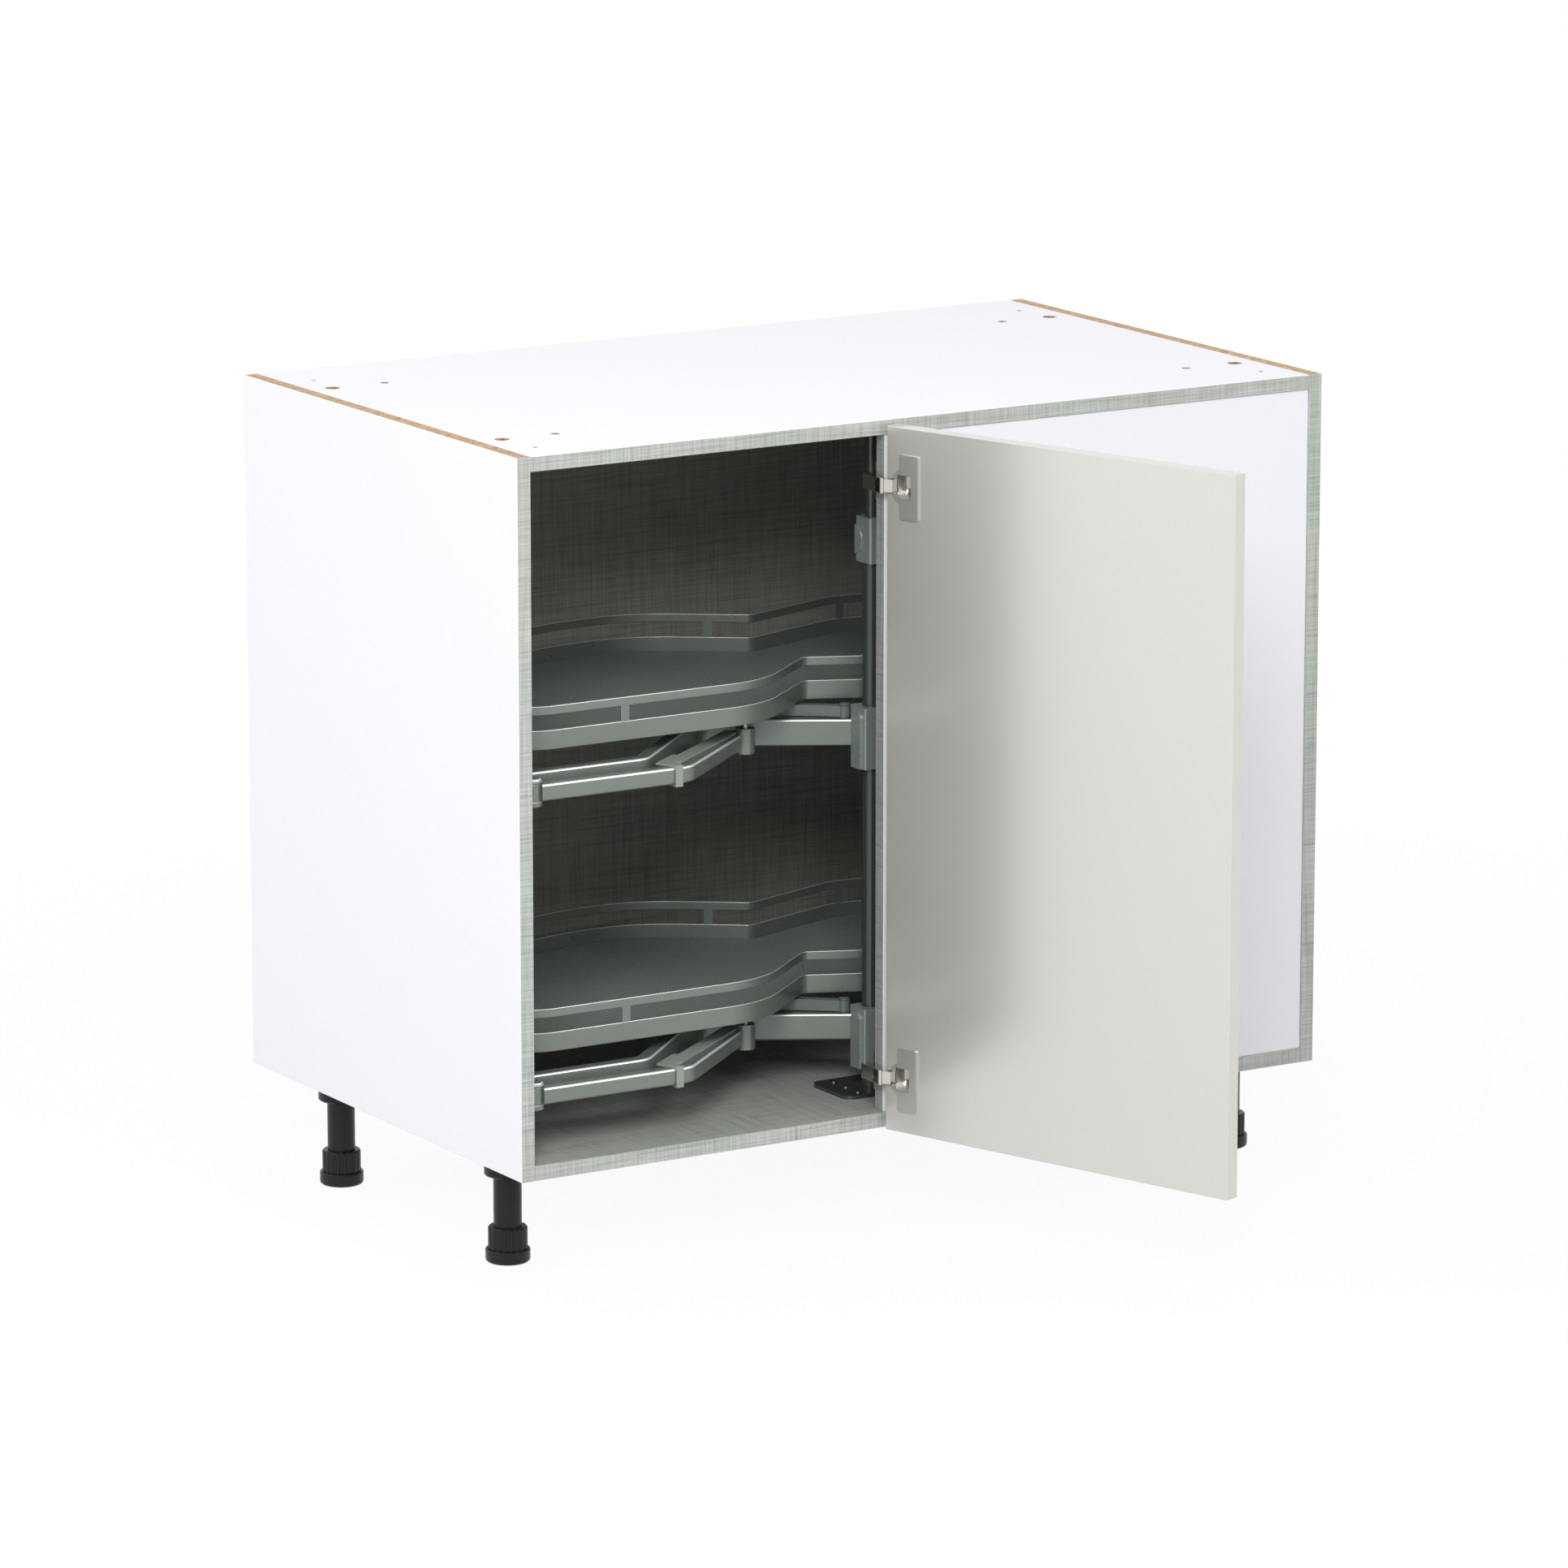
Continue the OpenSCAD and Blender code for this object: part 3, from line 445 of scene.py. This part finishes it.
def make(name, mesh, body, replaced, slot):
    """A mesh piece in carcass millimetres, smooth except at sharp edges, riding on a body."""
    verts, faces = mesh
    me = bpy.data.meshes.new(name)
    me.from_pydata([at(*v) for v in verts], [], faces)
    bm = bmesh.new()
    bm.from_mesh(me)
    bmesh.ops.remove_doubles(bm, verts=bm.verts, dist=WELD)
    bmesh.ops.recalc_face_normals(bm, faces=bm.faces)
    bm.to_mesh(me)
    bm.free()
    me.shade_smooth()
    me.set_sharp_from_angle(angle=SHARP_ANGLE)
    ob = bpy.data.objects.new(name, me)
    bpy.context.scene.collection.objects.link(ob)
    me.materials.append(SLOTS[slot])
    ob.modifiers.new("normals", "WEIGHTED_NORMAL").keep_sharp = True
    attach(ob, body)
    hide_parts(*replaced)


def unit(v):
    """The vector at length 1."""
    k = math.hypot(*v)
    return (v[0]/k, v[1]/k)


def round_corner(p, q, r, radius, inset, step):
    """Points of the rounded corner at q of an outline p, q, r, moved inwards."""
    u, v = unit((q[0] - p[0], q[1] - p[1])), unit((r[0] - q[0], r[1] - q[1]))
    turn = math.atan2(u[0]*v[1] - u[1]*v[0], u[0]*v[0] + u[1]*v[1])
    side = math.copysign(1.0, turn)
    run = radius*math.tan(abs(turn)/2)
    start = (q[0] - u[0]*run, q[1] - u[1]*run)
    centre = (start[0] - u[1]*radius*side, start[1] + u[0]*radius*side)
    first = math.atan2(-u[0]*side, u[1]*side)
    n = max(2, math.ceil(abs(math.degrees(turn))/step))
    reach = radius - side*inset
    angles = [first + turn*i/n for i in range(n + 1)]
    return [(centre[0] + reach*math.cos(a), centre[1] + reach*math.sin(a)) for a in angles]


def outline(corners, inset, step=2.0):
    """A closed outline from corners with the radius of each, moved inwards."""
    out = []
    for i, q in enumerate(corners):
        out += round_corner(corners[i - 1], q, corners[(i + 1) % len(corners)], q[2], inset, step)
    return out


def path_run(points, radii, step=5.0):
    """An open path with rounded bends."""
    out = [points[0]]
    for i in range(1, len(points) - 1):
        out += round_corner(points[i - 1], points[i], points[i + 1], radii[i - 1], 0, step)
    return out + [points[-1]]


def dense(path, gap):
    """The closed path with points at most gap apart."""
    out = []
    for i, a in enumerate(path):
        b = path[(i + 1) % len(path)]
        n = max(1, math.ceil(math.dist(a, b)/gap))
        out += [(a[0] + (b[0] - a[0])*k/n, a[1] + (b[1] - a[1])*k/n) for k in range(n)]
    return out


def profile(w, h, r, n=3):
    """A rounded rectangle round the origin, anticlockwise."""
    out = []
    for sx, sy, a in ((1, 1, 0), (-1, 1, 90), (-1, -1, 180), (1, -1, 270)):
        for i in range(n + 1):
            t = math.radians(a + 90*i/n)
            out.append((sx*(w/2 - r) + r*math.cos(t), sy*(h/2 - r) + r*math.sin(t)))
    return out


def shifted(prof, du, dv):
    """The profile moved sideways and up."""
    return [(u + du, v + dv) for u, v in prof]


def sweep(path, prof, z, closed=False):
    """Verts and faces of a profile (u to the right of the path, v up) run along a plan path."""
    verts, faces = [], []
    k, n = len(prof), len(path)
    for i, p in enumerate(path):
        a = path[i - 1] if (closed or i) else p
        b = path[(i + 1) % n] if (closed or i < n - 1) else p
        d1 = unit((p[0] - a[0], p[1] - a[1])) if a != p else None
        d2 = unit((b[0] - p[0], b[1] - p[1])) if b != p else None
        d1, d2 = d1 or d2, d2 or d1
        d = unit((d1[0] + d2[0], d1[1] + d2[1]))
        stretch = 1/max(0.3, d[0]*d1[0] + d[1]*d1[1])
        for u, v in prof:
            verts.append((p[0] + d[1]*u*stretch, p[1] - d[0]*u*stretch, z + v))
    for i in range(n if closed else n - 1):
        j = (i + 1) % n
        for m in range(k):
            o = (m + 1) % k
            faces.append((i*k + m, j*k + m, j*k + o, i*k + o))
    if not closed:
        faces.append(tuple(range(k)))
        faces.append(tuple((n - 1)*k + m for m in reversed(range(k))))
    return verts, faces


def rings(loops):
    """Verts and faces through equal loops of points, closed at both ends."""
    verts, faces, k = [], [], len(loops[0])
    for loop in loops:
        verts += loop
    for i in range(len(loops) - 1):
        for m in range(k):
            o = (m + 1) % k
            faces.append((i*k + m, i*k + o, (i + 1)*k + o, (i + 1)*k + m))
    faces.append(tuple(reversed(range(k))))
    faces.append(tuple((len(loops) - 1)*k + m for m in range(k)))
    return verts, faces


def join(*parts):
    """Several meshes as one."""
    verts, faces = [], []
    for v, f in parts:
        b = len(verts)
        verts += v
        faces += [tuple(b + i for i in g) for g in f]
    return verts, faces


def rim(z0, z1, edge):
    """Rings of a plate with rounded rims: how far each lies in from the edge, and its height."""
    part = edge*0.3
    return [(edge, z0), (part, z0 + part), (0, z0 + edge), (0, z1 - edge), (part, z1 - part), (edge, z1)]


def disc(centre, r, z0, z1, edge, n=48):
    """A turned disc with rounded rims."""
    turns = [2*math.pi*i/n for i in range(n)]
    x, y = centre
    return rings([
        [(x + (r - inset)*math.cos(t), y + (r - inset)*math.sin(t), z) for t in turns]
        for inset, z in rim(z0, z1, edge)
    ])


# Outline of the tray, a lobe on the left and a wing on the right: corners with the radius of each
LOBE, LOBE_R = (357.0, 141.0), 324.0
LEFT_X, FRONT_Y, RIGHT_X, WING_Y = 33.0, 78.8, 749.5, 432.0
BACK_Y = LOBE[1] + LOBE_R
WAIST, RUN = (512.0, 390.0), 47.0
TURN = math.atan((BACK_Y - WAIST[1])/(WAIST[0] - LOBE[0] - RUN - 1))
TRAY = [
    (LEFT_X, FRONT_Y, 54),
    (PIVOT[0] - 10.1, FRONT_Y, 115),
    (COLUMN[0] - 49, COLUMN[1] + 59.5, 9),
    (COLUMN[0] + 156.5, FRONT_Y - 9, 60),
    (RIGHT_X, FRONT_Y - 9, 90),
    (RIGHT_X, WING_Y, 100),
    (COLUMN[0] + 148.5, WING_Y, 60),
    (WAIST[0], WAIST[1], 10),
    (LOBE[0] + RUN + 1, BACK_Y, RUN/math.tan(TURN/2)),
    (LEFT_X, BACK_Y, LOBE_R),
]

# Places of the rail's struts, which join its two bands
STRUTS = [
    (LEFT_X + 139, FRONT_Y),
    (COLUMN[0] - 49, COLUMN[1] + 58),
    (COLUMN[0] + 80, COLUMN[1] + 3.2),
    (COLUMN[0] + 190, FRONT_Y - 9),
    (RIGHT_X, COLUMN[1] + 115),
    (COLUMN[0] + 164, WING_Y),
    (COLUMN[0] - 13.5, BACK_Y - 48),
] + [
    (LOBE[0] + LOBE_R*math.cos(math.radians(a)), LOBE[1] + LOBE_R*math.sin(math.radians(a)))
    for a in (112, 145, 178)
]
# Half a strut's width, in points of the rail that lie at most 1 mm apart
STRUT_HALF = 5

# Middle lines of the main arm and the folding link
ARM_BACK, LINK_Y = BARREL[1] + 23.5, 35.0
ARM_PATH = path_run([
    (COLUMN[0] - 1, COLUMN[1] + 10.2),
    (COLUMN[0] - 159.6, COLUMN[1] + 100.9),
    (BARREL[0] + 145.7, ARM_BACK),
    (BARREL[0], ARM_BACK),
], (24, 18))
LINK_PATH = path_run([
    (BARREL[0] + 5.7, LINK_Y),
    (BARREL[0] + 182, LINK_Y),
    (PIVOT[0] - 5.9, PIVOT[1] + 6.1),
], (24,))


def rail_mesh(z):
    """Two bands round the tray, joined by struts."""
    z += TRAY_Z
    ring = outline(TRAY, 0)
    fine = dense(ring, 1.0)
    low = shifted(profile(RAIL_T, RAIL_LOW, RAIL_ROUND, 4), -RAIL_T/2, RAIL_LOW/2)
    top = shifted(profile(RAIL_T, RAIL_TOP, RAIL_ROUND, 4), -RAIL_T/2, RAIL_H - RAIL_TOP/2)
    strut = profile(RAIL_T - 0.3, RAIL_H - RAIL_LOW - RAIL_TOP + 2, 0.4)
    strut = shifted(strut, -RAIL_T/2, (RAIL_H - RAIL_TOP + RAIL_LOW)/2)
    parts = [sweep(ring, low, z, True), sweep(ring, top, z, True)]
    for place in STRUTS:
        k = min(range(len(fine)), key=lambda i: math.dist(fine[i], place))
        stretch = [fine[(k + i) % len(fine)] for i in range(-STRUT_HALF, STRUT_HALF + 1)]
        parts.append(sweep(stretch, strut, z))
    return join(*parts)


def tray_plate(inset, z0, z1, edge):
    """A flat sheet of the tray's outline with rounded rims."""
    return rings([[(x, y, z) for x, y in outline(TRAY, inset + more)] for more, z in rim(z0, z1, edge)])


def floor_mesh(z):
    """The tray floor with the boss of its pin."""
    plate = tray_plate(2.0, z + TRAY_Z, z + FLOOR_TOP, 0.6)
    return join(plate, disc(PIVOT, TRAY_BOSS_R, z + TRAY_BOSS[0], z + TRAY_BOSS[1], 0.5))


def mat_mesh(z):
    """The mat that lies on the tray floor."""
    return tray_plate(3.0, z + FLOOR_TOP, z + MAT_TOP, 0.5)


def fork(z0, z1, edge=0.5):
    """One plate of the main arm's fork round the barrel pin."""
    x, y = BARREL
    turns = [math.radians(180 + 7.5*i) for i in range(25)]
    loops = []
    for inset, z in ((edge, z0), (0, z0 + edge), (0, z1 - edge), (edge, z1)):
        r = BARREL_R - inset
        nose = [(x + r*math.cos(t), y + r*math.sin(t), z) for t in turns]
        loops.append(nose + [(x + r, ARM_BACK, z), (x - r, ARM_BACK, z)])
    return rings(loops)


def arm_mesh(z):
    """The bent tube of the main arm with its fork."""
    tube = sweep(ARM_PATH, profile(*ARM_TUBE, 2.6, 4), z + ARM_MID)
    return join(tube, *[fork(z + low, z + high) for low, high in FORK_PLATES])


def link_mesh(z):
    """The bent tube of the folding link, with its eye on the barrel pin and its boss under the tray."""
    tube = sweep(LINK_PATH, profile(*LINK_TUBE, 3, 4), z + LINK_MID)
    eye = disc(BARREL, EYE_R, z + LINK_EYE[0], z + LINK_EYE[1], 0.5)
    boss = disc(PIVOT, BARREL_R, z + LINK_BOSS[0], z + LINK_BOSS[1], 0.7)
    return join(tube, eye, boss)


# Pieces of each swing unit: name, mesh, body, CAD node that it replaces and material slot
PIECES = (
    ("tray_rail_bent", rail_mesh, "tray", "tray_rail", "rail_paint"),
    ("tray_floor_plate", floor_mesh, "tray", "tray_floor", "tray_board"),
    ("tray_mat_sheet", mat_mesh, "tray", "tray_mat", "mat_rubber"),
    ("main_arm_tube", arm_mesh, "arm", "main_arm", "arm_paint"),
    ("folding_link_tube", link_mesh, "link", "folding_link", "arm_paint"),
)
for level, z in ARM_Z.items():
    for name, mesh, body, node, slot in PIECES:
        make(f"{level}_{name}", mesh(z), f"{level}_{body}", (f"{level}_{node}",), slot)


def bevelled(ob, width, segments, degrees):
    """Round the edges of a CAD piece."""
    ob.modifiers.new("weld", "WELD").merge_threshold = 1e-5
    bevel = ob.modifiers.new("bevel", "BEVEL")
    bevel.width, bevel.segments = width, segments
    bevel.limit_method, bevel.angle_limit = "ANGLE", math.radians(degrees)


for name in ("swivel_block", "link_strap", "guide_arm", "guide_pin", "barrel_pin"):
    for level in ARM_Z:
        ob = nodes[f"{level}_{name}"]
        bevelled(ob, 0.0006, 2, 40)
        ob.modifiers.new("normals", "WEIGHTED_NORMAL").keep_sharp = True
bevelled(nodes["door"], 0.0012, 3, 60)


# Studio
def white_rays(tree):
    """Sockets that are 1 for a camera ray, and for a camera, glossy or transmission ray."""
    path = tree.nodes.new("ShaderNodeLightPath")
    camera_ray = path.outputs["Is Camera Ray"]
    total = camera_ray
    for ray in ("Is Glossy Ray", "Is Transmission Ray"):
        add = tree.nodes.new("ShaderNodeMath")
        add.operation, add.use_clamp = "ADD", True
        tree.links.new(total, add.inputs[0])
        tree.links.new(path.outputs[ray], add.inputs[1])
        total = add.outputs[0]
    return camera_ray, total


def floor_material():
    """White in the picture, with a little of the lit floor and its shadow near the object."""
    m = Mat("studio_floor", rough=0.9)
    camera_ray, white_ray = white_rays(m.tree)
    grey_for_light, pale_for_camera = (0.56, 0.56, 0.57, 1), (0.97, 0.97, 0.97, 1)
    m.colour(m.mix(camera_ray, grey_for_light, pale_for_camera))
    distance = m.node("ShaderNodeVectorMath", operation="LENGTH")
    m.tree.links.new(m.place, distance.inputs[0])
    share = m.times(white_ray, m.remap(distance.outputs["Value"], 0.9, 2.2, 0.93, 1.0))
    white = m.node("ShaderNodeEmission")
    white.inputs["Color"].default_value = (1, 1, 1, 1)
    white.inputs["Strength"].default_value = 1.0
    both = m.node("ShaderNodeMixShader")
    m.put(both.inputs[0], share)
    m.put(both.inputs[1], m.shader.outputs[0])
    m.put(both.inputs[2], white.outputs[0])
    m.put(m.tree.nodes["Material Output"].inputs["Surface"], both.outputs[0])
    return m.material


def floor():
    """A wide floor just under the feet."""
    bpy.ops.mesh.primitive_plane_add(size=40, location=(0, 0, -0.0002))
    ob = bpy.context.object
    ob.name = "studio_floor"
    ob.data.materials.append(floor_material())


def area(name, loc, aim, size, power):
    """A rectangular lamp, placed and aimed in metres, with its power in watts."""
    lamp = bpy.data.lights.new(name, "AREA")
    lamp.shape = "RECTANGLE"
    lamp.size, lamp.size_y = size
    lamp.energy = power
    ob = bpy.data.objects.new(name, lamp)
    bpy.context.scene.collection.objects.link(ob)
    ob.location = loc
    ob.rotation_mode = "QUATERNION"
    ob.rotation_quaternion = (Vector(aim) - Vector(loc)).to_track_quat("-Z", "Y")
    return ob


def surroundings():
    """A pale world, at half strength except where it's seen or mirrored."""
    world = bpy.data.worlds.new("studio")
    bpy.context.scene.world = world
    world.use_nodes = True
    tree = world.node_tree
    background = tree.nodes["Background"]
    background.inputs["Color"].default_value = (0.98, 0.985, 1.0, 1)
    level = tree.nodes.new("ShaderNodeMapRange")
    level.inputs["To Min"].default_value = 0.50
    level.inputs["To Max"].default_value = 1.0
    tree.links.new(white_rays(tree)[1], level.inputs["Value"])
    tree.links.new(level.outputs[0], background.inputs["Strength"])


BODY_MIDDLE = (0, 0, 0.45)
floor()
area("key", (-2.6, -3.6, 3.2), BODY_MIDDLE, (2.0, 2.0), 138)
area("left_fill", (-4.0, 1.4, 2.2), BODY_MIDDLE, (2.4, 2.4), 50)
area("right_fill", (1.6, -4.6, 2.2), BODY_MIDDLE, (1.5, 1.5), 24)
area("top_soft", (0.2, 0.3, 4.2), BODY_MIDDLE, (3.0, 3.0), 25)
edge_light = area("edge_light", (2.25, -3.55, 2.4), (-0.3, 0, 0.4), (1.4, 2.4), 45)
edge_light.visible_diffuse = False
surroundings()

scene = bpy.context.scene
scene.view_settings.view_transform = "Standard"

# Camera, fitted to the photograph: place in carcass millimetres, focal length in pixels, angles in radians
CAMERA_PLACE = (-4140.99, -7332.66, 2270.41)
FOCAL_PIXELS, PHOTO_PIXELS = 10364.3, 1932
SENSOR_W = 36.0
TILT_DOWN, TURN_RIGHT = 0.216027, 0.546322

cam = bpy.data.cameras.new("camera")
cam.sensor_width = SENSOR_W
cam.lens = FOCAL_PIXELS/PHOTO_PIXELS*SENSOR_W
cam.clip_start, cam.clip_end = 0.1, 100
camera = bpy.data.objects.new("camera", cam)
scene.collection.objects.link(camera)
camera.location = at(*CAMERA_PLACE)
camera.rotation_euler = (math.pi/2 - TILT_DOWN, 0, -TURN_RIGHT)
scene.camera = camera
